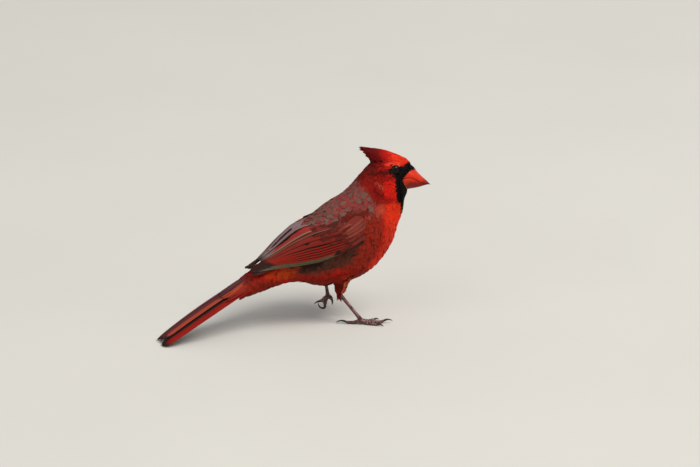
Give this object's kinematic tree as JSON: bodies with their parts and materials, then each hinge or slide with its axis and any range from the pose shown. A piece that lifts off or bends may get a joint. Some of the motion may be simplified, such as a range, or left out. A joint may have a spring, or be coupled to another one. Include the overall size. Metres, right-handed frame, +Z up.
{
  "type": "northern cardinal, life-size still model",
  "caption": "Still, life-size adult male songbird with a pointed crest and a deep cone-shaped bill, standing on one foot with the other trailing and its long tail resting behind.",
  "frame": {"origin": "on the floor, under the middle of the bird's box", "axes": "+X the way the head looks, +Y to the bird's left, +Z up; the tail points back and to the bird's right"},
  "size_m": [0.1872, 0.0788, 0.1251],
  "materials": {
    "plumage_head": "soft matt feathers, bright red with a black mask",
    "plumage_body": "soft matt feathers, red with grey edges on the back",
    "plumage_wing": "smooth satin flight feathers, dull red with dark centres",
    "plumage_tail": "smooth satin tail feathers, dark red",
    "bill": "satin horn, coral orange",
    "eye": "wet, near black",
    "leg_skin": "scaly skin, dark reddish brown",
    "claw": "satin horn, near black"
  },
  "bodies": {
    "root": {"head": "plumage_head", "crest": "plumage_head", "neck": "plumage_head", "trunk": "plumage_body", "tail_coverts": "plumage_body", "tail": "plumage_tail", "bill_upper": "bill", "bill_lower": "bill", "eye_right": "eye", "eye_left": "eye", "wing_right_coverts": "plumage_wing", "wing_right_secondaries": "plumage_wing", "wing_right_primaries": "plumage_wing", "wing_left_coverts": "plumage_wing", "wing_left_secondaries": "plumage_wing", "wing_left_primaries": "plumage_wing", "thigh_right": "plumage_body", "thigh_left": "plumage_body", "tarsus_right": "leg_skin", "tarsus_left": "leg_skin", "foot_right": "leg_skin", "foot_left": "leg_skin", "claw_right_middle": "claw", "claw_right_inner": "claw", "claw_right_outer": "claw", "claw_right_hind": "claw", "claw_left_middle": "claw", "claw_left_inner": "claw", "claw_left_outer": "claw", "claw_left_hind": "claw"}
  },
  "joints": []
}
